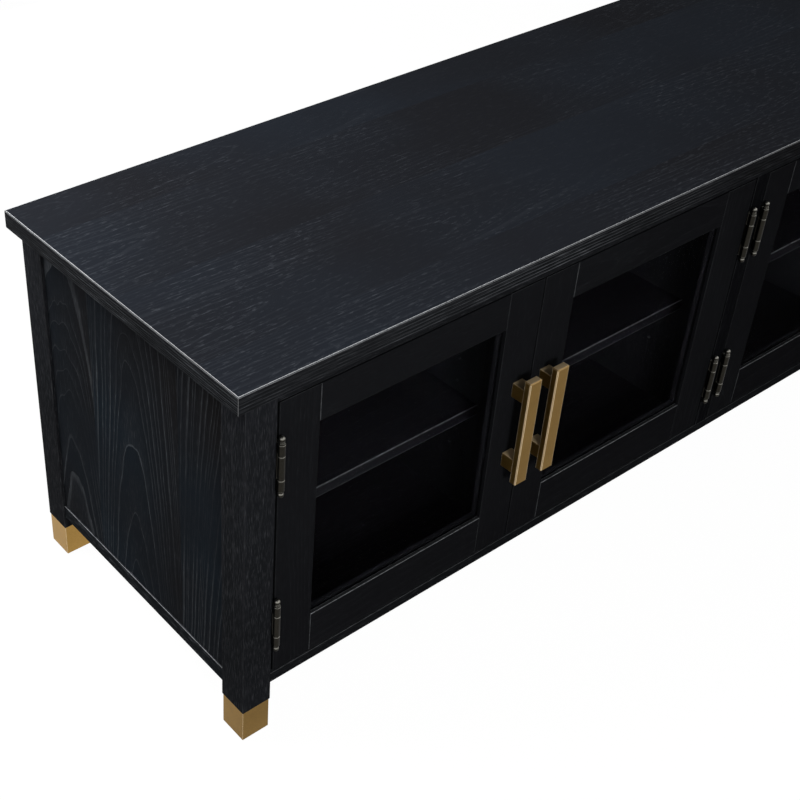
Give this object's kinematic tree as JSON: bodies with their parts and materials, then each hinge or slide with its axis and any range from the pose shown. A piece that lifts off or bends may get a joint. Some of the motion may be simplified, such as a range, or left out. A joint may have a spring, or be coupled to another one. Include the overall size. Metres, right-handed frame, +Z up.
{
  "type": "media cabinet",
  "caption": "Low black-stained oak media cabinet with glazed inset doors on ball-tipped hinges, brass bar pulls and brass-capped legs.",
  "frame": {"origin": "on the floor, under the middle of the whole outline", "axes": "+X to the right along the front, +Y from the doors to the back, +Z up"},
  "size_m": [1.619, 0.446, 0.51],
  "materials": {
    "black_oak": "black-stained open-grain oak, satin, edges rubbed pale",
    "black_wood_inside": "black-stained wood, flat",
    "satin_brass": "satin, lacquered",
    "aged_pewter": "aged dark pewter",
    "clear_glass": "clear",
    "steel": "zinc plated",
    "black_plastic": "moulded nylon"
  },
  "bodies": {
    "cabinet": {"top_panel": "black_oak", "leg_front_left": "black_oak", "leg_front_right": "black_oak", "leg_back_left": "black_oak", "leg_back_right": "black_oak", "leg_caps": "satin_brass", "glides": "black_plastic", "side_panel_left": "black_oak", "side_panel_right": "black_oak", "side_bottom_rails": "black_oak", "side_top_rails": "black_oak", "front_top_rail": "black_oak", "front_bottom_rail": "black_oak", "back_top_rail": "black_wood_inside", "back_bottom_rail": "black_wood_inside", "mullion": "black_oak", "partition_left": "black_wood_inside", "partition_middle": "black_wood_inside", "partition_right": "black_wood_inside", "bottom_panel": "black_wood_inside", "shelf_1": "black_wood_inside", "shelf_2": "black_wood_inside", "shelf_3": "black_wood_inside", "shelf_4": "black_wood_inside", "shelf_pins": "steel", "back_panels": "black_wood_inside", "top_screws": "steel", "back_screws": "steel", "catches": "black_plastic", "hinge_leaves": "aged_pewter", "hinge_pins": "aged_pewter", "hinge_screws": "steel"},
    "door_1": {"door_1_stiles": "black_oak", "door_1_rails": "black_oak", "door_1_glass": "clear_glass", "door_1_beads": "black_oak", "door_1_pull": "satin_brass", "door_1_hinge_leaves": "aged_pewter", "door_1_fixings": "steel"},
    "door_2": {"door_2_stiles": "black_oak", "door_2_rails": "black_oak", "door_2_glass": "clear_glass", "door_2_beads": "black_oak", "door_2_pull": "satin_brass", "door_2_hinge_leaves": "aged_pewter", "door_2_fixings": "steel"},
    "door_3": {"door_3_stiles": "black_oak", "door_3_rails": "black_oak", "door_3_glass": "clear_glass", "door_3_beads": "black_oak", "door_3_pull": "satin_brass", "door_3_hinge_leaves": "aged_pewter", "door_3_fixings": "steel"},
    "door_4": {"door_4_stiles": "black_oak", "door_4_rails": "black_oak", "door_4_glass": "clear_glass", "door_4_beads": "black_oak", "door_4_pull": "satin_brass", "door_4_hinge_leaves": "aged_pewter", "door_4_fixings": "steel"}
  },
  "joints": [
    {"name": "door_1_hinge", "type": "hinge", "parent": "cabinet", "child": "door_1", "pos_m": [-0.7511, -0.202, 0.281], "axis": [0, 0, -1], "range_deg": [0, 175]},
    {"name": "door_2_hinge", "type": "hinge", "parent": "cabinet", "child": "door_2", "pos_m": [-0.0124, -0.202, 0.281], "axis": [0, 0, 1], "range_deg": [0, 88]},
    {"name": "door_3_hinge", "type": "hinge", "parent": "cabinet", "child": "door_3", "pos_m": [0.0124, -0.202, 0.281], "axis": [0, 0, -1], "range_deg": [0, 88]},
    {"name": "door_4_hinge", "type": "hinge", "parent": "cabinet", "child": "door_4", "pos_m": [0.7511, -0.202, 0.281], "axis": [0, 0, 1], "range_deg": [0, 175]}
  ]
}
